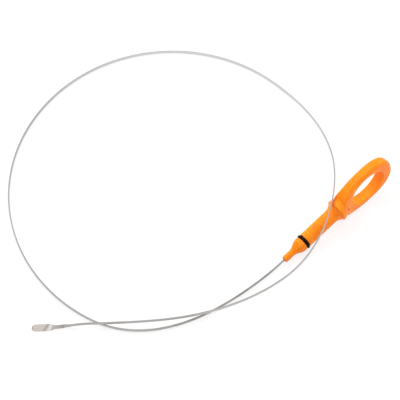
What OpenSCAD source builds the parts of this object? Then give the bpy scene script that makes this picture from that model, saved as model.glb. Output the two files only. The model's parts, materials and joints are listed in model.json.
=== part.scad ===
// Engine oil dipstick
// A flat spring-steel gauge blade lies in one loose turn on a level surface. Its root is set in
// the thin nose of a moulded handle, which has a barrel with a sealing ring, a collar and a
// finger loop. The blade runs round once, passes over the barrel in front of the collar, over
// its own first stretch and over the turn, and ends in a twisted neck and a flat paddle.
// Millimetres, +Z up, on the plane z = 0. The handle points along +X.

/* [Finger loop] */
// Half length of the oval finger hole, along the handle
hole_half_l = 15; // [13.6:0.1:16.5]
// Half width of the oval finger hole
hole_half_w = 10.3; // [9.3:0.1:11.3]
// Wall of the loop beside the hole
loop_side = 4.5; // [4:0.1:5]
// Wall of the loop at its far end
loop_end = 8.5; // [7.6:0.1:9.4]
// Solid web between the collar and the hole
loop_web = 10.8; // [9.8:0.1:11.8]
// How far the faces of the web lie inside the collar's rim, where it leaves the collar
web_inset = 0.4; // [0.3:0.05:0.8]
// Width of the band that forms the loop
loop_band = 8; // [7.2:0.1:8.8]
// Rounding of the four long edges of the band
edge_r = 1.3; // [1:0.05:1.4]
// Lean of the loop from upright, in degrees
loop_lean = 12; // [9:1:15]

/* [Collar, barrel and nose] */
// Radius of the collar
collar_r = 8.2; // [7.6:0.1:8.8]
// Length of the collar
collar_len = 3.2; // [2.8:0.1:3.8]
// Radius of the barrel, which seats in the dipstick tube
barrel_r = 5.2; // [4.8:0.1:5.6]
// Length of the straight barrel
barrel_len = 25; // [22.5:0.1:27.5]
// Length of the fillet between the barrel and the collar
fillet_len = 5; // [4.4:0.1:5.6]
// Length of the land before the sealing ring
land_len = 2; // [1.6:0.1:2.4]
// Length of the flare between the nose and the land
flare_len = 8; // [7:0.1:9]
// Radius of the nose
nose_r = 2.4; // [2.3:0.05:2.6]
// Length of the nose
nose_len = 7.4; // [6.6:0.1:8.2]

/* [Sealing ring] */
// Diameter of the ring's round section
ring_d = 2.1; // [1.9:0.05:2.3]
// How far the ring stands out from the barrel
ring_proud = 0.55; // [0.4:0.05:0.7]

/* [Blade] */
// Width of the steel strip, which stands on its edge
blade_w = 2.5; // [2.2:0.1:2.8]
// Thickness of the steel strip
blade_t = 0.9; // [0.8:0.05:1]
// Radius of the turn
coil_r = 114; // [106:0.5:122]
// Depth of the strip's root in the nose
root_depth = 6; // [5:0.5:7]
// Width of the paddle at the tip
paddle_w = 5.2; // [4.6:0.1:5.8]
// Thickness of the paddle, which is pressed flat
paddle_t = 0.55; // [0.45:0.05:0.7]
// Length of the flat paddle
paddle_len = 14; // [12:0.5:16]
// Length of the twisted neck, over which the strip widens into the paddle
twist_len = 7; // [6:0.5:8]
// Clear height between strands where they cross
cross_gap = 0.4; // [0.3:0.05:0.6]

/* [Hidden] */

// Handle axis, measured from the collar's front face: negative towards the nose
barrel_front = -fillet_len - barrel_len;
groove_room = 0.5;
groove_w = ring_d + groove_room;
land_back = barrel_front - groove_w;
flare_back = land_back - land_len;
nose_back = flare_back - flare_len;
nose_tip = nose_back - nose_len;
ring_r = barrel_r + ring_proud - ring_d / 2;
groove_r = ring_r - ring_d / 2;
edge_break = 0.4;
fillet_rise = 2.2;
fillet_power = 1.5;
// Domed shoulder that runs from the collar's rim into the web
shoulder_r = collar_r - 3.2;
shoulder_start = collar_len - 0.6;
shoulder_len = 1.6;
round_fn = 72;
flare_steps = 10;
fillet_steps = 6;

// Loop: a rounded band swept round the oval hole. Its outline is fuller than the hole: the
// exponent of each end is 2 for an ellipse and more for a squarer shoulder.
web_start = 1.2;
hole_x = web_start + loop_web + hole_half_l;
end_fullness = 2.45;
root_fullness = 2;
flare_power = 4.4;
loop_stations = 72;
corner_steps = 3;

// Clear height between the ground and the nose, and the slope from which the pose is worked out
nose_gap = 0.4;
first_pitch = 10;
settle_rounds = 4;

// Blade route in plan, with the collar's front face at x = 0 and the handle along +X
coil_back = 68;
coil_below = 19.5;
coil_c = [-coil_back, coil_r - coil_below];
coil_from = 198;
coil_to = -32;
lead_pull = [38, 58];
wrap_pull = [27, 40];
wrap_end = [-63, -13];
wrap_heading = 172;
tail_pull = [52, 43];
tail_end = [-190, 63.5];
tail_heading = 140;
root_run = 2;
lead_steps = 22;
coil_steps = 56;
wrap_steps = 20;
tail_steps = 24;
tip_steps = 16;
strip_edge = 0.15;

// Heights of the strip's middle: on the ground, over the handle, over another strand
ground_z = blade_w / 2;
over_strand_z = ground_z + blade_w + cross_gap;
rise_len = 115;
fall_len = 160;
settle_len = 34;
// The strip crosses the barrel this far below the top of the collar, and is highest this far
// before the handle's axis
collar_dip = 1;
crest_y = 6;

function ease(t) = let (c = max(0, min(1, t))) c * c * (3 - 2 * c);
function heading(a) = [cos(a), sin(a)];
function unit(v) = v / norm(v);
function bezier(a, b, c, d, t) =
    pow(1 - t, 3) * a + 3 * t * pow(1 - t, 2) * b + 3 * t * t * (1 - t) * c + pow(t, 3) * d;
function lean_point(p) = [p.x, p.y * cos(loop_lean) + p.z * sin(loop_lean),
                          p.z * cos(loop_lean) - p.y * sin(loop_lean)];
function pitch_point(p, angle) = [p.x * cos(angle) - p.z * sin(angle), p.y,
                                  p.x * sin(angle) + p.z * cos(angle)];

// Points on the hole's wall and on the loop's outline, from the middle of the hole
function hole_edge(a) = [hole_half_l * cos(a), hole_half_w * sin(a)];
function loop_edge(a) =
    let (power = 2 / (cos(a) > 0 ? end_fullness : root_fullness),
         reach = hole_half_l + (cos(a) > 0 ? loop_end : loop_web))
    [reach * sign(cos(a)) * pow(abs(cos(a)), power),
     (hole_half_w + loop_side) * sign(sin(a)) * pow(abs(sin(a)), power)];

// Half width of the band at a place along the handle: it narrows from the collar in a hollow
// flare, which ends at the middle of the hole
function band_half(x) =
    loop_band / 2 + (collar_r - web_inset - loop_band / 2)
        * pow(max(0, min(1, (hole_x - x) / (hole_x - web_start))), flare_power);

section_count = 4 * (corner_steps + 1);
loop_points = [
    for (i = [0:loop_stations - 1])
        let (a = 360 * i / loop_stations,
             inner = hole_edge(a),
             wall = loop_edge(a) - inner,
             out = unit(wall))
        for (corner = [0:3], step = [0:corner_steps])
            let (turn = 90 * (corner + step / corner_steps),
                 flat = (corner == 0 || corner == 3) ? norm(wall) - edge_r : edge_r,
                 from_hole = flat + edge_r * cos(turn),
                 x = hole_x + inner.x + out.x * from_hole,
                 side = corner < 2 ? 1 : -1)
            [x, side * (band_half(x) - edge_r) + edge_r * sin(turn), inner.y + out.y * from_hole]];

// Pose at rest: the loop's lowest edge is on the ground and the nose just clears it. Each round
// sets the handle's axis at the height that the last slope needs, and then the slope again.
function axis_height(angle) = -min([for (p = loop_points) pitch_point(lean_point(p), angle).z]);
function settle(angle, rounds) =
    rounds == 0 ? angle
    : settle(asin((axis_height(angle) - nose_r - nose_gap) / -nose_tip), rounds - 1);
pitch = settle(first_pitch, settle_rounds);
posed_loop = [for (p = loop_points) pitch_point(lean_point(p), pitch)];
seat_z = axis_height(pitch);
nose_end = [nose_tip * cos(pitch), 0, seat_z + nose_tip * sin(pitch)];
root_dir = [-cos(pitch), 0, -sin(pitch)];
over_handle_z = seat_z + collar_r - collar_dip + blade_w / 2 + cross_gap;

// Plan of the route: root, lead-in, turn, wrap over the handle, tail and straight tip
function coil_point(a) = coil_c + coil_r * heading(a);
function coil_heading(a) = [sin(a), -cos(a)];
lead_start = [nose_end.x - root_run * cos(pitch), 0];
lead_points = [
    for (i = [1:lead_steps])
        bezier(lead_start, lead_start + lead_pull[0] * heading(180),
               coil_point(coil_from) - lead_pull[1] * coil_heading(coil_from),
               coil_point(coil_from), i / lead_steps)];
coil_points = [
    for (i = [1:coil_steps]) coil_point(coil_from + (coil_to - coil_from) * i / coil_steps)];
wrap_points = [
    for (i = [1:wrap_steps])
        bezier(coil_point(coil_to), coil_point(coil_to) + wrap_pull[0] * coil_heading(coil_to),
               wrap_end - wrap_pull[1] * heading(wrap_heading), wrap_end, i / wrap_steps)];
tail_points = [
    for (i = [1:tail_steps])
        bezier(wrap_end, wrap_end + tail_pull[0] * heading(wrap_heading),
               tail_end - tail_pull[1] * heading(tail_heading), tail_end, i / tail_steps)];

// Straight tip: neck, paddle with a round end, measured back from the end of the blade
tip_lead = 3;
tip_len = paddle_len + twist_len + tip_lead;
paddle_r = paddle_w / 2;
tip_backs = concat(
    [for (i = [1:tip_steps]) tip_len - (tip_len - paddle_r) * i / tip_steps],
    [for (a = [75:-15:15]) paddle_r * (1 - cos(a))], [0.02]);
tip_points = [for (b = tip_backs) tail_end + (tip_len - b) * heading(tail_heading)];

plan = concat([lead_start], lead_points, coil_points, wrap_points, tail_points, tip_points);
plan_count = len(plan);
travel = [for (i = 0, s = 0; i < plan_count;
               s = s + (i + 1 < plan_count ? norm(plan[i + 1] - plan[i]) : 0), i = i + 1) s];
blade_run = travel[plan_count - 1];

// The strip is highest beside the collar, just before it crosses the handle's axis
crest = [for (i = [0:plan_count - 2]) if (plan[i].y > crest_y && plan[i + 1].y <= crest_y) travel[i]][0];
lead_drop = nose_end.z - root_run * sin(pitch) - ground_z;
drop_len = 3 * lead_drop / tan(pitch);
function route_z(s) =
    s < drop_len ? ground_z + lead_drop * pow(1 - s / drop_len, 3)
    : s < crest ? ground_z + (over_handle_z - ground_z) * ease(1 - (crest - s) / rise_len)
    : s < blade_run - settle_len
        ? over_strand_z + (over_handle_z - over_strand_z) * (1 - ease((s - crest) / fall_len))
    : paddle_t / 2 + (over_strand_z - paddle_t / 2) * ease((blade_run - s) / settle_len);

route = concat([nose_end - root_depth * root_dir, nose_end],
               [for (i = [0:plan_count - 1]) [plan[i].x, plan[i].y, route_z(travel[i])]]);
route_count = len(route);
// Distance of each ring of the strip from the end of the blade
function from_end(i) = blade_run - travel[max(0, i - 2)];

// How far the strip has turned into the paddle, from none to one over the neck
function paddle_share(b) = ease((paddle_len + twist_len - b) / twist_len);
// Half width of the strip: even, then widening into the paddle, then the round end
function half_width(b) =
    b < paddle_r ? sqrt(max(0.0001, paddle_r * paddle_r - pow(paddle_r - b, 2)))
    : blade_w / 2 + (paddle_w - blade_w) / 2 * paddle_share(b);
// Half thickness of the strip, which is less in the paddle
function half_thick(b) = blade_t / 2 + (paddle_t - blade_t) / 2 * paddle_share(b);
// Twist of the strip about its own length: on edge, then flat along the paddle
function twist(b) = 90 * paddle_share(b);

// One eight-sided ring of the strip, its corners broken
function strip_ring(i) =
    let (ahead = unit(route[min(route_count - 1, i + 1)] - route[max(0, i - 1)]),
         side = unit(cross(ahead, [0, 0, 1])),
         upright = cross(side, ahead),
         t = twist(from_end(i)),
         across = upright * cos(t) + side * sin(t),
         through = side * cos(t) - upright * sin(t),
         w = max(strip_edge + 0.05, half_width(from_end(i))),
         h = half_thick(from_end(i)))
    [for (c = [[w, h - strip_edge], [w - strip_edge, h], [strip_edge - w, h], [-w, h - strip_edge],
               [-w, strip_edge - h], [strip_edge - w, -h], [w - strip_edge, -h],
               [w, strip_edge - h]])
        route[i] + across * c[0] + through * c[1]];
blade_points = [for (i = [0:route_count - 1]) for (p = strip_ring(i)) p];

// Origin: the middle of the object's outline on the ground
extent = concat(blade_points, posed_loop);
mid_x = (min([for (p = extent) p.x]) + max([for (p = extent) p.x])) / 2;
mid_y = (min([for (p = extent) p.y]) + max([for (p = extent) p.y])) / 2;

// Two triangles on each face between ring a and ring b of a swept surface
function band_faces(a, b, count) = [
    for (j = [0:count - 1])
        let (k = (j + 1) % count)
        for (f = [[a * count + j, b * count + j, b * count + k],
                  [a * count + j, b * count + k, a * count + k]]) f];

module centred() {
    translate([-mid_x, -mid_y, 0]) children();
}

// The handle's own frame: axis along X, collar's front face at the origin
module handle_frame() {
    centred() translate([0, 0, seat_z]) rotate([0, -pitch, 0]) children();
}

// Outline of the turned part of the handle: radius and place along the axis
function turned_outline() = concat(
    [[0, nose_tip], [nose_r - edge_break, nose_tip], [nose_r, nose_tip + edge_break]],
    [for (i = [0:flare_steps])
        let (t = i / flare_steps) [nose_r + (barrel_r - nose_r) * ease(t), nose_back + flare_len * t]],
    [[barrel_r, land_back], [groove_r, land_back], [groove_r, barrel_front],
     [barrel_r - edge_break, barrel_front], [barrel_r, barrel_front + edge_break]],
    [for (i = [0:fillet_steps])
        let (t = i / fillet_steps) [barrel_r + fillet_rise * pow(t, fillet_power), fillet_len * (t - 1)]],
    [[collar_r - edge_break, 0], [collar_r, edge_break]],
    [for (a = [0:15:90]) [shoulder_r + (collar_r - shoulder_r) * cos(a),
                          shoulder_start + shoulder_len * sin(a)]],
    [[0, shoulder_start + shoulder_len]]);

module turned_body() {
    rotate([0, 90, 0]) rotate_extrude($fn = round_fn) polygon(turned_outline());
}

module finger_loop() {
    rotate([-loop_lean, 0, 0])
        polyhedron(points = loop_points,
                   faces = [for (i = [0:loop_stations - 1])
                                for (f = band_faces(i, (i + 1) % loop_stations, section_count)) f]);
}

// Pocket in the nose that takes the root of the strip, with a hair of room round it
module root_pocket() {
    room = 0.05;
    translate([nose_tip - 1, -blade_t / 2 - room, -blade_w / 2 - room])
        cube([root_depth + 1 + room, blade_t + 2 * room, blade_w + 2 * room]);
}

// Round core mark in the web, on both faces of the loop
module web_marks() {
    mark_r = 1.1;
    mark_depth = 0.7;
    mark_x = collar_len + 3;
    rotate([-loop_lean, 0, 0])
        for (side = [-1, 1])
            translate([mark_x, side * (band_half(mark_x) - mark_depth), 0])
                rotate([-side * 90, 0, 0])
                    cylinder(r = mark_r, h = mark_depth + 2, $fn = 24);
}

module handle() {
    color("darkorange")
        handle_frame()
            difference() {
                union() {
                    turned_body();
                    finger_loop();
                }
                root_pocket();
                web_marks();
            }
}

module o_ring() {
    color("#1c1a18")
        handle_frame()
            translate([barrel_front - groove_w / 2, 0, 0])
                rotate([0, 90, 0])
                    rotate_extrude($fn = round_fn)
                        translate([ring_r, 0]) circle(d = ring_d, $fn = 24);
}

module blade() {
    last = route_count - 1;
    color("silver")
        centred()
            polyhedron(points = blade_points,
                       faces = concat(
                           [[for (j = [0:7]) j], [for (j = [7:-1:0]) last * 8 + j]],
                           [for (i = [0:last - 1]) for (f = band_faces(i, i + 1, 8)) f]));
}

handle();
o_ring();
blade();
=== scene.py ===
"""Engine oil dipstick: a steel gauge blade in one loose turn, with a moulded finger-loop handle."""
import json
import math

import bmesh
import bpy
import numpy as np
from mathutils import Matrix, Vector
from mathutils.bvhtree import BVHTree


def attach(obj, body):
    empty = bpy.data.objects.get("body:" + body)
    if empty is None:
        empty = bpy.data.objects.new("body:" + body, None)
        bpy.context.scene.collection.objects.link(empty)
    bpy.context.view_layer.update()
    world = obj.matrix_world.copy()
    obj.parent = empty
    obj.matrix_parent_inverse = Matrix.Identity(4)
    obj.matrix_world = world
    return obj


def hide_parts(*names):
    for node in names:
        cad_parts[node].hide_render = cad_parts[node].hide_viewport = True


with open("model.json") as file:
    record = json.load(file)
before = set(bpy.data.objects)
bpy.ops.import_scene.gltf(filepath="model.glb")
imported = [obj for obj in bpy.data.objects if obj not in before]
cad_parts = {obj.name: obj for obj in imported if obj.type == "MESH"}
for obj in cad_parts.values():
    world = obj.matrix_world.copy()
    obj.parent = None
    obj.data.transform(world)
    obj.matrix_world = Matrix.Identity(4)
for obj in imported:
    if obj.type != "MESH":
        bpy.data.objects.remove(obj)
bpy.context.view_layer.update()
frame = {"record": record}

mm = 0.001

# Camera. It looks down steeply on the table from the side of the blade's tip, with a long lens,
# so that the turn of the blade is seen as a flattened ring and the handle runs to the upper right.
# Its aim is given from the collar of the handle, where the tube seat of the frame is.
tube_seat = frame["record"]["mounts"][0]
seat = Vector(tube_seat["pos_m"])
view_azimuth = math.radians(-42.6)
view_elevation = math.radians(62)
view_distance = 1100 * mm
aim_back = 59.23 * mm
aim_aside = 74.33 * mm
view_target = Vector((seat.x - aim_back, seat.y + aim_aside, 0))
lens_length = 141.4
sensor_width = 36
towards_camera = Vector((math.sin(view_azimuth) * math.cos(view_elevation),
                         -math.cos(view_azimuth) * math.cos(view_elevation),
                         math.sin(view_elevation)))
camera_data = bpy.data.cameras.new("camera")
camera_data.lens = lens_length
camera_data.sensor_width = sensor_width
camera_data.clip_start = 0.05
camera_data.clip_end = 20
camera = bpy.data.objects.new("camera", camera_data)
camera.location = view_target + view_distance * towards_camera
camera.rotation_mode = "QUATERNION"
camera.rotation_quaternion = (-towards_camera).to_track_quat("-Z", "Y")
bpy.context.scene.collection.objects.link(camera)
bpy.context.scene.camera = camera

# Handle. One injection moulding in glossy orange plastic: finger loop, web, collar, barrel, ring
# groove, flare and nose. It is built in mm in its own frame, with the axis along X and the
# collar's front face at zero, and is then laid where the tube seat of the frame says.

# Finger loop and web
hole_half_l = 15
hole_half_w = 10.3
loop_side = 4.5
loop_end = 8.5
loop_web = 10.8
web_inset = 0.4
loop_band = 8
hole_edge_r = 0.8
outer_edge_r = 2.6
loop_lean = math.radians(12)
web_start = 1.2
end_fullness = 2.45
root_fullness = 2
flare_power = 4.4
root_half_h = 7.9
root_flat = 0.5
root_len = 5.6
# Turned part, from the collar to the nose
collar_r = 8.2
collar_len = 3.2
shoulder_start = 0.6
shoulder_len = 1.6
shoulder_drop = 3.2
barrel_r = 5.2
fillet_len = 5
fillet_rise = 2.2
fillet_power = 1.5
barrel_front = -30
groove_w = 2.6
groove_r = 3.65
land_len = 2
flare_len = 8
nose_r = 2.4
nose_len = 7.4
nose_round = 1.2
edge_break = 0.4
land_back = barrel_front - groove_w
flare_back = land_back - land_len
nose_back = flare_back - flare_len
nose_tip = nose_back - nose_len


def ease(t):
    t = max(0.0, min(1.0, t))
    return t * t * (3 - 2 * t)


def rounded(centre, radius, start, stop, steps):
    """Points of an arc, as (place along the axis, radius), with angles in degrees."""
    angles = [math.radians(start + (stop - start) * i / steps) for i in range(steps + 1)]
    return [(centre[0] + radius[0] * math.cos(a), centre[1] + radius[1] * math.sin(a)) for a in angles]


def shares(steps):
    return [i / steps for i in range(steps + 1)]


def turned_outline():
    """Outline of the turned part, from the nose to the shoulder behind the collar."""
    shoulder = (collar_len - shoulder_start, collar_r - shoulder_drop)
    outline = [(nose_tip, 0.0)]
    outline += rounded((nose_tip + nose_round, nose_r - nose_round), (nose_round, nose_round), 180, 90, 8)
    outline += [(nose_back + flare_len * t, nose_r + (barrel_r - nose_r) * ease(t)) for t in shares(16)]
    outline += [(land_back, barrel_r), (land_back, groove_r), (barrel_front, groove_r)]
    outline += rounded((barrel_front + edge_break, barrel_r - edge_break),
                       (edge_break, edge_break), 180, 90, 4)
    outline += [(fillet_len * (t - 1), barrel_r + fillet_rise * t ** fillet_power) for t in shares(12)]
    outline += rounded((edge_break, collar_r - edge_break), (edge_break, edge_break), 180, 90, 4)
    outline += rounded(shoulder, (shoulder_len, shoulder_drop), 90, 0, 12)
    return outline + [(shoulder[0] + shoulder_len, 0.0)]


def closed_mesh(rings, name):
    """Mesh through rings of points, closed end to end: the first and last ring may be one point."""
    count = max(len(r) for r in rings)
    points, starts, faces = [], [], []
    for ring in rings:
        starts.append(len(points))
        points += ring
    for a in range(len(rings) - 1):
        for j in range(count):
            k = (j + 1) % count
            quad = [starts[a] + (j if len(rings[a]) > 1 else 0),
                    starts[a + 1] + (j if len(rings[a + 1]) > 1 else 0),
                    starts[a + 1] + (k if len(rings[a + 1]) > 1 else 0),
                    starts[a] + (k if len(rings[a]) > 1 else 0)]
            faces.append(list(dict.fromkeys(quad)))
    mesh = bpy.data.meshes.new(name)
    mesh.from_pydata(points, [], faces)
    return mesh


turn_steps = 112
outline = turned_outline()
turned_rings = []
for x, r in outline:
    if r == 0:
        turned_rings.append([(x, 0, 0)])
    else:
        turned_rings.append([(x, r * math.sin(2 * math.pi * j / turn_steps),
                              r * math.cos(2 * math.pi * j / turn_steps)) for j in range(turn_steps)])
turned_mesh = closed_mesh(turned_rings, "turned_body")

loop_stations = 180
corner_steps = 8
hole_x = web_start + loop_web + hole_half_l


def band_half(x):
    """Half width of the band: it narrows from the collar in a hollow flare."""
    share = max(0.0, min(1.0, (hole_x - x) / (hole_x - web_start)))
    return loop_band / 2 + (collar_r - web_inset - loop_band / 2) * share ** flare_power


def leaned(x, across, z):
    return (x, across * math.cos(loop_lean) + z * math.sin(loop_lean),
            z * math.cos(loop_lean) - across * math.sin(loop_lean))


def loop_ring(a):
    """Rounded section of the band at angle a round the hole, leaned with the loop."""
    c, s = math.cos(a), math.sin(a)
    power = 2 / (end_fullness if c > 0 else root_fullness)
    reach = hole_half_l + (loop_end if c > 0 else loop_web)
    inner = Vector((hole_half_l * c, hole_half_w * s))
    edge = Vector((math.copysign(reach * abs(c) ** power, c),
                   math.copysign((hole_half_w + loop_side) * abs(s) ** power, s)))
    wall = edge - inner
    out = wall.normalized()
    ring = []
    for corner in range(4):
        outside = corner in (0, 3)
        soft = outer_edge_r if outside else hole_edge_r
        for step in range(corner_steps + 1):
            turn = math.radians(90) * (corner + step / corner_steps)
            along = (wall.length - soft if outside else soft) + soft * math.cos(turn)
            x, z = hole_x + inner.x + out.x * along, inner.y + out.y * along
            across = (band_half(x) - soft) * (1 if corner < 2 else -1) + soft * math.sin(turn)
            ring.append(leaned(x, across, z))
    return ring


def root_ring(x):
    """Rounded section of the root of the web, which fills the corner behind the collar's rim."""
    soft = band_half(x) - root_flat
    ring = []
    for corner, (side, level) in enumerate(((1, 1), (-1, 1), (-1, -1), (1, -1))):
        for step in range(corner_steps + 1):
            turn = math.radians(90) * (corner + step / corner_steps)
            ring.append(leaned(x, side * root_flat + soft * math.cos(turn),
                               level * (root_half_h - soft) + soft * math.sin(turn)))
    return ring


loop_rings = [loop_ring(2 * math.pi * i / loop_stations) for i in range(loop_stations + 1)]
loop_mesh = closed_mesh(loop_rings, "finger_loop")
root_rings = [root_ring(web_start + root_len * t) for t in shares(8)]
root_rings = [[(web_start, 0, 0)]] + root_rings + [[(web_start + root_len, 0, 0)]]
root_mesh = closed_mesh(root_rings, "web_root")


merge_within = 0.0001


def joined(meshes, name):
    """One mesh from several closed ones, with doubled points merged and faces turned outwards."""
    shell = bmesh.new()
    for mesh in meshes:
        shell.from_mesh(mesh)
    bmesh.ops.remove_doubles(shell, verts=shell.verts, dist=merge_within)
    bmesh.ops.recalc_face_normals(shell, faces=shell.faces)
    mesh = bpy.data.meshes.new(name)
    shell.to_mesh(mesh)
    shell.free()
    return mesh


def with_modifier(mesh, kind, **settings):
    """The mesh as it comes out of one modifier."""
    carrier = bpy.data.objects.new("carrier", mesh)
    bpy.context.scene.collection.objects.link(carrier)
    modifier = carrier.modifiers.new(kind, kind)
    for key, value in settings.items():
        setattr(modifier, key, value)
    shaped = bpy.data.meshes.new_from_object(carrier.evaluated_get(bpy.context.evaluated_depsgraph_get()))
    bpy.data.objects.remove(carrier)
    return shaped


def surface_of(mesh):
    shell = bmesh.new()
    shell.from_mesh(mesh)
    tree = BVHTree.FromBMesh(shell)
    shell.free()
    return tree


# The turned part and the loop become one skin. Where the shoulder meets the band it is worked into
# a soft fillet, as the mould has it, and elsewhere only the grain of the voxels is smoothed out.
skin_step = 0.27
joint_start = 1
joint_end = 16
fillet_reach = 2
fillet_fade = 1.4
fillet_passes = 120
grain_passes = 6
shrink = 0.5
swell = -0.52
skin = with_modifier(joined([turned_mesh, loop_mesh, root_mesh], "skin"), "REMESH",
                     mode="VOXEL", voxel_size=skin_step, adaptivity=0.0)
turned_surface = surface_of(joined([turned_mesh], "turned"))
loop_surface = surface_of(joined([loop_mesh, root_mesh], "loop"))
points = np.empty(len(skin.vertices) * 3)
skin.vertices.foreach_get("co", points)
points = points.reshape(-1, 3)
edges = np.empty(len(skin.edges) * 2, int)
skin.edges.foreach_get("vertices", edges)
edges = edges.reshape(-1, 2)
near_joint = np.zeros(len(points))
for i in np.flatnonzero((points[:, 0] > joint_start) & (points[:, 0] < joint_end)):
    p = Vector(points[i])
    far = max(turned_surface.find_nearest(p)[3], loop_surface.find_nearest(p)[3])
    near_joint[i] = ease(fillet_fade - far / fillet_reach)
neighbours = np.bincount(edges.ravel(), minlength=len(points))


def smoothed(points, share):
    """Every point moved by a share of the way to the middle of its neighbours."""
    middle = np.zeros_like(points)
    for axis in range(3):
        middle[:, axis] = (np.bincount(edges[:, 0], points[edges[:, 1], axis], len(points))
                           + np.bincount(edges[:, 1], points[edges[:, 0], axis], len(points)))
    return points + share * (middle / neighbours[:, None] - points)


for _ in range(grain_passes):
    points = smoothed(points, shrink)
    points = smoothed(points, swell)
for _ in range(fillet_passes):
    points = smoothed(points, shrink * near_joint[:, None])

# The halves of the mould meet in the middle of the band and leave a hairline ridge there
seam_half_w = 0.22
seam_height = 0.05
skin.vertices.foreach_set("co", points.ravel())
skin.update()
normals = np.empty(len(skin.vertices) * 3)
skin.vertices.foreach_get("normal", normals)
normals = normals.reshape(-1, 3)
off_seam = np.abs(points[:, 1] * math.cos(loop_lean) - points[:, 2] * math.sin(loop_lean))
ridge = np.clip(1 - off_seam / seam_half_w, 0, 1) ** 0.5 * seam_height
points = points + normals * ridge[:, None]
skin.vertices.foreach_set("co", points.ravel())
skin.update()

# Cut with the same tool: the slot that holds the root of the blade, and the round mark that the
# core pin leaves in the web on both faces
blade_w = 2.5
blade_t = 0.9
root_depth = 6
root_room = 0.05
mark_r = 1.1
mark_depth = 0.3
mark_flare = 1.06
mark_steps = 28
mark_x = collar_len + 3
cutter = bmesh.new()
slot_box = bmesh.ops.create_cube(cutter, size=1)["verts"]
for v in slot_box:
    v.co = Vector((v.co.x * (2 * root_depth), v.co.y * (blade_t + 2 * root_room),
                   v.co.z * (blade_w + 2 * root_room))) + Vector((nose_tip, 0, 0))
lean_turn = Matrix.Rotation(-loop_lean, 4, "X")
for side in (-1, 1):
    pin = bmesh.ops.create_cone(cutter, cap_ends=True, segments=mark_steps, radius1=mark_r,
                                radius2=mark_r * mark_flare, depth=2 * mark_depth)["verts"]
    tip_up = Matrix.Rotation(math.radians(-90 * side), 4, "X")
    place = lean_turn @ Matrix.Translation((mark_x, side * band_half(mark_x), 0)) @ tip_up
    bmesh.ops.transform(cutter, matrix=place, verts=pin)
bmesh.ops.recalc_face_normals(cutter, faces=cutter.faces)
cutter_mesh = bpy.data.meshes.new("cutter")
cutter.to_mesh(cutter_mesh)
cutter.free()
cutter_object = bpy.data.objects.new("cutter", cutter_mesh)
bpy.context.scene.collection.objects.link(cutter_object)
handle_mesh = with_modifier(skin, "BOOLEAN", operation="DIFFERENCE", solver="EXACT",
                            object=cutter_object)
bpy.data.objects.remove(cutter_object)

along = -Vector(tube_seat["axis"]).normalized()
across = Vector((0, 1, 0))
handle_frame = Matrix.Translation(seat) @ Matrix(
    (along, across, along.cross(across))).transposed().to_4x4() @ Matrix.Scale(mm, 4)
handle_mesh.transform(handle_frame)
handle_mesh.shade_smooth()
moulded_crease = math.radians(50)
handle_mesh.set_sharp_from_angle(angle=moulded_crease)
handle = bpy.data.objects.new("moulded_handle", handle_mesh)
bpy.context.scene.collection.objects.link(handle)
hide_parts("handle")
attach(handle, "root")


def node(tree, kind, inputs=None, **settings):
    """One shader node, with its settings, and with values or links for its inputs."""
    made = tree.nodes.new(kind)
    for key, value in settings.items():
        setattr(made, key, value)
    for key, value in (inputs or {}).items():
        if isinstance(value, bpy.types.NodeSocket):
            tree.links.new(value, made.inputs[key])
        else:
            made.inputs[key].default_value = value
    return made


def math_node(tree, operation, *values, clamp=False):
    """The result of one sum, product or other operation on numbers or links."""
    return node(tree, "ShaderNodeMath", dict(enumerate(values)),
                operation=operation, use_clamp=clamp).outputs[0]


def times(tree, first, second):
    return math_node(tree, "MULTIPLY", first, second)


def spread(tree, value, low, high, to_low=0.0, to_high=1.0):
    """A value laid from one range on another, held at both ends."""
    return node(tree, "ShaderNodeMapRange", {"Value": value, "From Min": low, "From Max": high,
                                             "To Min": to_low, "To Max": to_high}).outputs["Result"]


def blended(tree, share, first, second):
    """One colour laid over another by a mask."""
    return node(tree, "ShaderNodeMix", {"Factor": share, "A": first, "B": second},
                data_type="RGBA").outputs["Result"]


def noise(tree, place, scale, detail=3.0, distortion=0.0):
    return node(tree, "ShaderNodeTexNoise", {"Vector": place, "Scale": scale, "Detail": detail,
                                             "Distortion": distortion}).outputs["Fac"]


def shader_group(name, inputs, outputs):
    """An empty node group with named inputs and outputs, and its two ends."""
    group = bpy.data.node_groups.new(name, "ShaderNodeTree")
    for label, kind, value in inputs:
        socket = group.interface.new_socket(label, in_out="INPUT", socket_type=kind)
        socket.default_value = value
    for label in outputs:
        group.interface.new_socket(label, in_out="OUTPUT", socket_type="NodeSocketFloat")
    return group, group.nodes.new("NodeGroupInput").outputs, group.nodes.new("NodeGroupOutput").inputs


# Edge wear and painted shade: rubbed edges stand out, and hollows are painted darker as painted shade
edge_wear_and_shade, given, result = shader_group(
    "edge_wear_and_shade", [("Reach", "NodeSocketFloat", 0.05), ("Breakup", "NodeSocketFloat", 900.0)],
    ["Wear", "Hollow Shade"])
shape = node(edge_wear_and_shade, "ShaderNodeNewGeometry").outputs["Pointiness"]
wear_place = node(edge_wear_and_shade, "ShaderNodeTexCoord").outputs["Object"]
broken = noise(edge_wear_and_shade, wear_place, given["Breakup"], 4.0)
sharp = spread(edge_wear_and_shade, shape, 0.5, math_node(edge_wear_and_shade, "ADD", 0.5, given["Reach"]))
hollow = spread(edge_wear_and_shade, shape, 0.5, math_node(edge_wear_and_shade, "SUBTRACT", 0.5, given["Reach"]))
worn = times(edge_wear_and_shade, sharp, spread(edge_wear_and_shade, broken, 0.4, 0.6))
hollow_shade = times(edge_wear_and_shade, hollow, spread(edge_wear_and_shade, broken, 0.3, 0.5, 1, 0.4))
edge_wear_and_shade.links.new(worn, result["Wear"])
edge_wear_and_shade.links.new(hollow_shade, result["Hollow Shade"])

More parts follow.
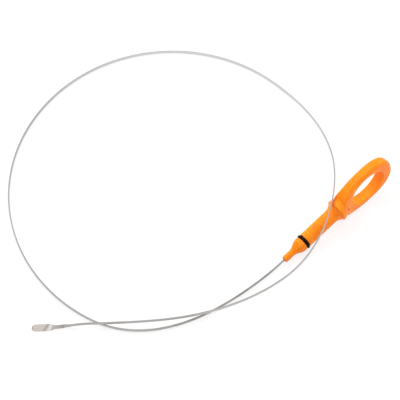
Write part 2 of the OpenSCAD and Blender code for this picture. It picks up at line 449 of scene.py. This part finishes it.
# Surface grain: a slow drift of tone, smears from handling, and a fine grain for the bump. The
# place that it is given says how far the pattern is drawn out.
surface_grain, given, result = shader_group(
    "surface_grain", [("Place", "NodeSocketVector", (0, 0, 0)), ("Scale", "NodeSocketFloat", 1.0)],
    ["Tone", "Smears", "Grain"])
tone_scale = times(surface_grain, given["Scale"], 90.0)
smear_scale = times(surface_grain, given["Scale"], 330.0)
grain_scale = times(surface_grain, given["Scale"], 3200.0)
surface_grain.links.new(noise(surface_grain, given["Place"], tone_scale, 2.0, 0.4), result["Tone"])
surface_grain.links.new(noise(surface_grain, given["Place"], smear_scale, 5.0, 1.2), result["Smears"])
surface_grain.links.new(noise(surface_grain, given["Place"], grain_scale, 3.0), result["Grain"])

# Dust: a few pale specks and a thin film, on what faces up
dust, given, result = shader_group(
    "dust", [("Film", "NodeSocketFloat", 0.2), ("Speck Scale", "NodeSocketFloat", 700.0)], ["Dust"])
facing = node(dust, "ShaderNodeNewGeometry").outputs["Normal"]
faces_up = node(dust, "ShaderNodeSeparateXYZ", {0: facing}).outputs["Z"]
dust_place = node(dust, "ShaderNodeTexCoord").outputs["Object"]
cells = node(dust, "ShaderNodeTexVoronoi", {"Vector": dust_place, "Scale": given["Speck Scale"]})
picked = node(dust, "ShaderNodeSeparateColor", {0: cells.outputs["Color"]}).outputs[0]
specks = times(dust, spread(dust, cells.outputs["Distance"], 0.1, 0.16, 1, 0),
               spread(dust, picked, 0.9, 0.92))
film = times(dust, given["Film"], spread(dust, noise(dust, dust_place, 160.0, 4.0), 0.45, 0.75))
settled = math_node(dust, "MAXIMUM", specks, film, clamp=True)
dust.links.new(times(dust, settled, spread(dust, faces_up, 0.1, 0.8)), result["Dust"])


def principled(name, **constants):
    """A material with its shader, its output and the constants on the shader's own sockets."""
    material = bpy.data.materials.new(name)
    material.use_nodes = True
    tree = material.node_tree
    tree.nodes.clear()
    sockets = {key.replace("_", " "): value for key, value in constants.items()}
    shader = node(tree, "ShaderNodeBsdfPrincipled", sockets)
    node(tree, "ShaderNodeOutputMaterial", {"Surface": shader.outputs[0]})
    return material, tree, shader


def finished(tree, shader, colour, roughness, grain, strength, depth):
    """Links a material's colour, its roughness and its raised grain to its shader."""
    bump = node(tree, "ShaderNodeBump", {"Strength": strength, "Distance": depth, "Height": grain})
    tree.links.new(colour, shader.inputs["Base Color"])
    tree.links.new(roughness, shader.inputs["Roughness"])
    tree.links.new(bump.outputs["Normal"], shader.inputs["Normal"])


orange = (1.0, 0.26, 0.004, 1)
deep_orange = (0.98, 0.22, 0.002, 1)
rubbed_orange = (0.98, 0.36, 0.06, 1)
painted_shade_orange = (0.6, 0.06, 0.002, 1)
lint = (0.8, 0.77, 0.72, 1)
crevice_reach = 2.4 * mm
moulding, tree, shader = principled(
    "orange_moulding", IOR=1.48, Specular_IOR_Level=0.26, Subsurface_Weight=0.35,
    Subsurface_Radius=(1.0, 0.15, 0.03), Subsurface_Scale=3 * mm)
place = node(tree, "ShaderNodeTexCoord").outputs["Object"]
grain = node(tree, "ShaderNodeGroup", {"Place": place, "Scale": 1.0}, node_tree=surface_grain).outputs
wear_and_shade = node(tree, "ShaderNodeGroup", {"Reach": 0.06}, node_tree=edge_wear_and_shade).outputs
dusted = node(tree, "ShaderNodeGroup", {"Film": 0.02}, node_tree=dust).outputs
crevice_shade = node(tree, "ShaderNodeAmbientOcclusion", {"Distance": crevice_reach}, samples=8).outputs["AO"]
colour = blended(tree, spread(tree, grain["Tone"], 0.35, 0.65), deep_orange, orange)
colour = blended(tree, times(tree, wear_and_shade["Wear"], 0.5), colour, rubbed_orange)
# Painted shade: hollows found by their pointiness are darkened to a deep red
colour = blended(tree, times(tree, wear_and_shade["Hollow Shade"], 0.85), colour, painted_shade_orange)
# Painted shade: ambient occlusion darkens the creases by the collar, the groove and under the strand
colour = blended(tree, spread(tree, crevice_shade, 0.5, 0.93, 0.65, 0), colour, painted_shade_orange)
colour = blended(tree, times(tree, dusted["Dust"], 0.5), colour, lint)
gloss = spread(tree, grain["Smears"], 0.3, 0.7, 0.27, 0.4)
roughness = math_node(tree, "ADD", gloss, times(tree, wear_and_shade["Wear"], 0.12))
finished(tree, shader, colour, roughness, grain["Grain"], strength=0.25, depth=0.02 * mm)
handle_mesh.materials.append(moulding)

# Sealing ring. A black rubber ring of round section, stretched into the groove of the barrel. It
# is pressed in a two-part mould, which leaves a hairline of flash round its outside.
ring_d = 2.1
ring_proud = 0.55
ring_r = barrel_r + ring_proud - ring_d / 2
ring_x = barrel_front - groove_w / 2
flash_height = 0.04
ring_steps = 160
ring_section_steps = 36
ring_rings = []
for i in range(ring_steps + 1):
    around = 2 * math.pi * i / ring_steps
    section = []
    for j in range(ring_section_steps):
        a = 2 * math.pi * j / ring_section_steps
        radius = ring_d / 2 + (flash_height if j == 0 else -flash_height)
        out_by = ring_r + radius * math.cos(a)
        section.append((ring_x + radius * math.sin(a),
                        out_by * math.sin(around), out_by * math.cos(around)))
    ring_rings.append(section)
ring_mesh = joined([closed_mesh(ring_rings, "ring")], "sealing_ring")
ring_mesh.transform(handle_frame)
ring_mesh.shade_smooth()
ring = bpy.data.objects.new("sealing_ring", ring_mesh)
bpy.context.scene.collection.objects.link(ring)
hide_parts("o_ring")
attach(ring, "root")

black = (0.006, 0.004, 0.003, 1)
grey_bloom = (0.02, 0.015, 0.012, 1)
rubber, tree, shader = principled("black_rubber", IOR=1.5, Specular_IOR_Level=0.06)
place = node(tree, "ShaderNodeTexCoord").outputs["Object"]
grain = node(tree, "ShaderNodeGroup", {"Place": place, "Scale": 2.0}, node_tree=surface_grain).outputs
wear_and_shade = node(tree, "ShaderNodeGroup", {"Reach": 0.08}, node_tree=edge_wear_and_shade).outputs
dusted = node(tree, "ShaderNodeGroup", {"Film": 0.02}, node_tree=dust).outputs
colour = blended(tree, spread(tree, grain["Tone"], 0.4, 0.7), black, grey_bloom)
colour = blended(tree, times(tree, wear_and_shade["Wear"], 0.3), colour, grey_bloom)
colour = blended(tree, times(tree, dusted["Dust"], 0.4), colour, lint)
roughness = spread(tree, grain["Smears"], 0.3, 0.7, 0.32, 0.5)
finished(tree, shader, colour, roughness, grain["Grain"], strength=0.3, depth=0.02 * mm)
ring_mesh.materials.append(rubber)

# Blade. A strip of spring steel, rolled to a narrow flat section with round edges, that stands on
# its edge. It runs out of the slot in the nose, once round, over the barrel and its own first
# stretch, and ends in a twisted neck and a flat paddle, which is pressed from the same strip.
# Lie of the strip in plan, in mm from the seat
coil_r = 114
coil_c = Vector((-68, 94.5))
coil_from = 198
coil_to = -32
lead_heading = 180
lead_pull = (38, 58)
wrap_end = Vector((-63, -13))
wrap_heading = 172
wrap_pull = (27, 40)
tail_end = Vector((-190, 63.5))
tail_heading = 140
tail_pull = (52, 43)
# Where it crosses the barrel and its own first stretch
crest_y = 6
collar_dip = 1
cross_gap = 0.4
rise_len = 115
fall_len = 160
settle_len = 38
settle_start = 18
# Neck and paddle
paddle_w = 5.2
paddle_t = 0.55
paddle_len = 14
twist_len = 7
tip_lead = 3
turn_len = 13
widen_len = 3
widen_into = 3
end_half_w = 0.02
# Section, and how finely the strip is cut up
root_run = 2
strip_round = 0.24
roundest = 0.9
strip_room = 0.025
strip_corner_steps = 4
ring_spacing = 1.6
tip_spacing = 0.35
end_turn_step = 6
end_gap = 0.005


def heading(degrees):
    return Vector((math.cos(math.radians(degrees)), math.sin(math.radians(degrees))))


def bezier(a, b, c, d):
    """Points along a cubic curve, about one ring spacing apart, without the first."""
    count = round(((b - a).length + (c - b).length + (d - c).length) / ring_spacing)
    for i in range(1, count + 1):
        t = i / count
        yield (1 - t) ** 3 * a + 3 * t * (1 - t) ** 2 * b + 3 * t * t * (1 - t) * c + t ** 3 * d


def coil_point(degrees):
    return coil_c + coil_r * heading(degrees)


seat_z = seat.z / mm
pitch = math.asin(along.z)
nose_end = Vector((nose_tip * math.cos(pitch), 0, seat_z + nose_tip * math.sin(pitch)))
lead_start = Vector((nose_end.x - root_run * math.cos(pitch), 0))
coil_steps = round(math.radians(coil_from - coil_to) * coil_r / ring_spacing)
plan = [lead_start]
plan += bezier(lead_start, lead_start + lead_pull[0] * heading(lead_heading),
               coil_point(coil_from) - lead_pull[1] * heading(coil_from - 90), coil_point(coil_from))
plan += [coil_point(coil_from + (coil_to - coil_from) * i / coil_steps) for i in range(1, coil_steps + 1)]
plan += bezier(plan[-1], plan[-1] + wrap_pull[0] * heading(coil_to - 90),
               wrap_end - wrap_pull[1] * heading(wrap_heading), wrap_end)
plan += bezier(wrap_end, wrap_end + tail_pull[0] * heading(wrap_heading),
               tail_end - tail_pull[1] * heading(tail_heading), tail_end)
tip_len = paddle_len + twist_len + tip_lead
paddle_r = paddle_w / 2
tip_steps = round((tip_len - paddle_r) / tip_spacing)
from_tip = [tip_len - (tip_len - paddle_r) * i / tip_steps for i in range(1, tip_steps + 1)]
end_turns = range(90 - end_turn_step, 0, -end_turn_step)
from_tip += [paddle_r * (1 - math.cos(math.radians(a))) for a in end_turns] + [end_gap]
plan += [tail_end + (tip_len - b) * heading(tail_heading) for b in from_tip]

travel = [0.0]
for i in range(1, len(plan)):
    travel.append(travel[-1] + (plan[i] - plan[i - 1]).length)
blade_run = travel[-1]
crest = next(travel[i] for i in range(len(plan) - 1) if plan[i].y > crest_y >= plan[i + 1].y)
ground_z = blade_w / 2
over_strand_z = ground_z + blade_w + cross_gap
over_handle_z = seat_z + collar_r - collar_dip + blade_w / 2 + cross_gap
lead_drop = nose_end.z - root_run * math.sin(pitch) - ground_z
drop_len = 3 * lead_drop / math.tan(pitch)


def strip_size(back):
    """Half width and thickness of the strip, and its turn, at a distance from its end."""
    turn = math.radians(90) * ease((paddle_len + turn_len - back) / turn_len)
    share = ease((paddle_len + widen_len - back) / (widen_len + widen_into))
    return (blade_w / 2 + (paddle_w - blade_w) / 2 * share - strip_room,
            blade_t / 2 + (paddle_t - blade_t) / 2 * share - strip_room, turn)


def route_z(s):
    """Height of the strip's middle at a distance along it."""
    if s < drop_len:
        return ground_z + lead_drop * (1 - s / drop_len) ** 3
    if s < crest:
        return ground_z + (over_handle_z - ground_z) * ease(1 - (crest - s) / rise_len)
    if s < blade_run - settle_len:
        return over_strand_z + (over_handle_z - over_strand_z) * (1 - ease((s - crest) / fall_len))
    back = blade_run - s
    half_w, half_t, turn = strip_size(back)
    lift = (over_strand_z - ground_z) * ease((back - settle_start) / (settle_len - settle_start))
    return half_w * math.cos(turn) + half_t * math.sin(turn) + lift


root_start = nose_end + root_depth * Vector((math.cos(pitch), 0, math.sin(pitch)))
route = [root_start, nose_end] + [Vector((p.x, p.y, route_z(s))) for p, s in zip(plan, travel)]
distance = [-root_run - root_depth, -root_run] + travel


def strip_ring(i):
    """Round-cornered section of the strip at one point of its route."""
    ahead = (route[min(len(route) - 1, i + 1)] - route[max(0, i - 1)]).normalized()
    side = ahead.cross(Vector((0, 0, 1))).normalized()
    upright = side.cross(ahead)
    back = blade_run - distance[i]
    half_w, half_t, turn = strip_size(back)
    wide = upright * math.cos(turn) + side * math.sin(turn)
    thick = side * math.cos(turn) - upright * math.sin(turn)
    if back < paddle_r:
        round_end = max(end_half_w ** 2, paddle_r ** 2 - (paddle_r - back) ** 2)
        half_w = math.sqrt(round_end) * half_w / paddle_r
    soft = min(strip_round, half_w * roundest)
    ring = []
    for corner, (sw, st) in enumerate(((1, 1), (-1, 1), (-1, -1), (1, -1))):
        for step in range(strip_corner_steps + 1):
            a = math.radians(90) * (corner + step / strip_corner_steps)
            ring.append(route[i] + wide * (sw * (half_w - soft) + soft * math.cos(a))
                        + thick * (st * (half_t - soft) + soft * math.sin(a)))
    return ring


strip_rings = [[tuple(p) for p in strip_ring(i)] for i in range(len(route))]
strip_rings = [[tuple(route[0])]] + strip_rings + [[tuple(route[-1])]]
blade_mesh = closed_mesh(strip_rings, "steel_blade")
blade_mesh.flip_normals()

# The strip's map says how far along it a point is, and how far round its section
section_count = len(strip_rings[1])
ring_places = [distance[0]] + distance + [distance[-1]]
round_places = []
for section in strip_rings:
    round_places.append([0.0])
    for i in range(1, section_count + 1):
        step = 0 if len(section) == 1 else math.dist(section[i % section_count], section[i - 1])
        round_places[-1].append(round_places[-1][-1] + step)
strip_map = blade_mesh.uv_layers.new(name="along_strip")
for face in blade_mesh.polygons:
    spots = []
    for corner in face.vertices:
        whole, spot = divmod(corner - 1, section_count)
        if corner == 0:
            whole, spot = -1, 0
        spots.append((min(whole, len(route)) + 1, spot))
    crosses_start = max(s[1] for s in spots) == section_count - 1 and min(s[1] for s in spots) == 0
    for loop, (ring, spot) in zip(face.loop_indices, spots):
        if crosses_start and spot == 0:
            spot = section_count
        strip_map.data[loop].uv = (ring_places[ring] * mm, round_places[ring][spot] * mm)
blade_mesh.transform(Matrix.Translation((seat.x, seat.y, 0)) @ Matrix.Scale(mm, 4))
blade_mesh.shade_smooth()
rolled_crease = math.radians(60)
blade_mesh.set_sharp_from_angle(angle=rolled_crease)
blade = bpy.data.objects.new("steel_blade", blade_mesh)
bpy.context.scene.collection.objects.link(blade)
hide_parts("blade")
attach(blade, "root")

# The rolls leave fine lines along the strip, and the turns of the coil have rubbed its edges bright
steel_grey = (0.56, 0.545, 0.535, 1)
dull_grey = (0.44, 0.42, 0.41, 1)
bright_edge = (0.75, 0.73, 0.72, 1)
painted_light_steel = (0.76, 0.745, 0.735, 1)
oil_film = (0.3, 0.24, 0.17, 1)
painted_shade_grey = (0.27, 0.25, 0.24, 1)
paddle_grey = (0.74, 0.66, 0.61, 1)
highlight_white = (0.95, 0.92, 0.9, 1)
drawn_share = (0.02, 1, 1)
steel, tree, shader = principled("spring_steel", Metallic=1.0)
strip_place = node(tree, "ShaderNodeUVMap", {}, uv_map="along_strip").outputs["UV"]
drawn_out = node(tree, "ShaderNodeVectorMath", {0: strip_place, 1: drawn_share},
                 operation="MULTIPLY").outputs[0]
lines = node(tree, "ShaderNodeGroup", {"Place": drawn_out, "Scale": 2.2}, node_tree=surface_grain).outputs
wear_and_shade = node(tree, "ShaderNodeGroup", {"Reach": 0.12}, node_tree=edge_wear_and_shade).outputs
dusted = node(tree, "ShaderNodeGroup", {"Film": 0.1}, node_tree=dust).outputs
stains = noise(tree, node(tree, "ShaderNodeTexCoord").outputs["Object"], 60.0, 5.0, 0.6)
colour = blended(tree, spread(tree, lines["Smears"], 0.3, 0.7), dull_grey, steel_grey)
colour = blended(tree, times(tree, spread(tree, stains, 0.55, 0.75), 0.3), colour, oil_film)


def stretch(tree, place, comes, goes, most=1.0, least=0.0):
    """A mask that comes in over one length of the strip and goes over another, both in mm."""
    return times(tree, spread(tree, place, comes[0] * mm, comes[1] * mm, 0, most),
                 spread(tree, place, goes[0] * mm, goes[1] * mm, 1, least))


# The stretch in the middle is painted lighter, as painted light. The stretch by the nose and the one
# before the twisted neck are painted darker, as painted shade. The places are in mm from the nose.
nose_shade = (75, 130)
neck = (872, 875)
rim = (887.6, 888.4)
strip_spot = node(tree, "ShaderNodeSeparateXYZ", {0: strip_place}).outputs
run = strip_spot["X"]
painted_light = stretch(tree, run, comes=(330, 430), goes=(580, 630), most=0.7, least=0.15)
shade_by_nose = spread(tree, run, nose_shade[0] * mm, nose_shade[1] * mm, 1, 0)
shade_before_neck = stretch(tree, run, comes=(740, 800), goes=neck, most=0.35)
# Painted shade: these two stretches are darkened, broken up by the stain noise
painted_shade = times(tree, math_node(tree, "MAXIMUM", shade_by_nose, shade_before_neck),
              spread(tree, stains, 0.35, 0.6, 0.25, 0.85))
on_paddle = times(tree, spread(tree, run, neck[0] * mm, neck[1] * mm),
                  spread(tree, lines["Smears"], 0.3, 0.6, 0.5, 0.9))
colour = blended(tree, painted_light, colour, painted_light_steel)
colour = blended(tree, on_paddle, colour, paddle_grey)
colour = blended(tree, painted_shade, colour, painted_shade_grey)

# The paddle's rim, its bend and the twist are painted dark as painted shade, and between them a painted
# highlight is laid on bright. The bands cross the strip at a slant.
slant = 0.6
slant_middle = 8.4 * mm
off_middle = math_node(tree, "SUBTRACT", strip_spot["Y"], slant_middle)
slanted = math_node(tree, "ADD", run, times(tree, off_middle, slant))
at_rim = spread(tree, run, rim[0] * mm, rim[1] * mm)
in_bend = stretch(tree, slanted, comes=(877.7, 878.7), goes=(879.3, 880.5))
in_twist = stretch(tree, slanted, comes=(872.2, 873), goes=(873.5, 874.2))
painted_highlight = stretch(tree, slanted, comes=(873.5, 875.2), goes=(876.2, 877.8))
shade_places = math_node(tree, "MAXIMUM", at_rim, math_node(tree, "MAXIMUM", in_bend, in_twist))
painted_shade_bands = times(tree, shade_places, spread(tree, lines["Smears"], 0.35, 0.6, 0.3, 0.65))
colour = blended(tree, painted_shade_bands, colour, painted_shade_grey)
colour = blended(tree, times(tree, painted_highlight, 0.65), colour, highlight_white)
colour = blended(tree, times(tree, wear_and_shade["Wear"], 0.4), colour, bright_edge)
colour = blended(tree, times(tree, dusted["Dust"], 0.15), colour, lint)
roughness = spread(tree, lines["Smears"], 0.3, 0.7, 0.3, 0.42)
finished(tree, shader, colour, roughness, lines["Grain"], strength=0.3, depth=0.01 * mm)
blade_mesh.materials.append(steel)

# Floor and light. A white table, under a white studio that reflects darker near the horizon, with a
# soft lamp overhead and a large soft window behind the object, so that its shadow falls towards us.
floor_size = 6000 * mm
table_white = (0.97, 0.97, 0.97, 1)
studio_white = (1, 1, 1, 1)
table_glow = 0.76
glow_from = 250 * mm
glow_full = 900 * mm
floor_mesh = bpy.data.meshes.new("floor")
half = floor_size / 2
floor_corners = [(-half, -half, 0), (half, -half, 0), (half, half, 0), (-half, half, 0)]
floor_mesh.from_pydata(floor_corners, [], [(0, 1, 2, 3)])
floor = bpy.data.objects.new("floor", floor_mesh)
bpy.context.scene.collection.objects.link(floor)
floor_material = bpy.data.materials.new("white_table")
floor_material.use_nodes = True
tree = floor_material.node_tree
tree.nodes.clear()
matt = node(tree, "ShaderNodeBsdfDiffuse", {"Color": table_white})
glow = node(tree, "ShaderNodeEmission", {"Color": studio_white, "Strength": 1.0})
rays = node(tree, "ShaderNodeLightPath").outputs
seen = math_node(tree, "MAXIMUM", rays["Is Camera Ray"], rays["Is Glossy Ray"])
# Far from the object, where no shadow falls, the table runs into the white of the studio
floor_place = node(tree, "ShaderNodeTexCoord").outputs["Object"]
far_off = node(tree, "ShaderNodeVectorMath", {0: floor_place}, operation="LENGTH").outputs["Value"]
share = times(tree, seen, spread(tree, far_off, glow_from, glow_full, table_glow, 1))
lit = node(tree, "ShaderNodeMixShader", {0: share, 1: matt.outputs[0], 2: glow.outputs[0]})
node(tree, "ShaderNodeOutputMaterial", {"Surface": lit.outputs[0]})
floor_mesh.materials.append(floor_material)

studio_light = 0.44
mirror_from = 0.05
mirror_full = 0.5
mirror_low = -0.2
mirror_high = 0.5
world = bpy.data.worlds.new("studio")
world.use_nodes = True
bpy.context.scene.world = world
tree = world.node_tree
background = tree.nodes["Background"].inputs
background["Color"].default_value = studio_white
rays = node(tree, "ShaderNodeLightPath").outputs
direction = node(tree, "ShaderNodeTexCoord").outputs["Generated"]
height = node(tree, "ShaderNodeSeparateXYZ", {0: direction}).outputs["Z"]
mirrored = times(tree, rays["Is Glossy Ray"],
                 spread(tree, height, mirror_from, mirror_full, mirror_low, mirror_high))
brightness = math_node(tree, "ADD", studio_light, mirrored)
tree.links.new(math_node(tree, "MAXIMUM", brightness, rays["Is Camera Ray"]), background["Strength"])


def soft_lamp(name, place, size, power):
    """A round lamp that aims at the object, with its place and size in metres."""
    data = bpy.data.lights.new(name, "AREA")
    data.shape = "DISK"
    data.size = size
    data.energy = power
    lamp = bpy.data.objects.new(name, data)
    lamp.location = place
    lamp.rotation_mode = "QUATERNION"
    lamp.rotation_quaternion = (-Vector(place)).to_track_quat("-Z", "Y")
    lamp.visible_glossy = False
    bpy.context.scene.collection.objects.link(lamp)


soft_lamp("overhead", place=(0.5, -0.35, 1.2), size=1.4, power=11)
soft_lamp("window", place=(0.35, 1.1, 1.0), size=1.6, power=26)

bpy.context.scene.view_settings.view_transform = "Standard"
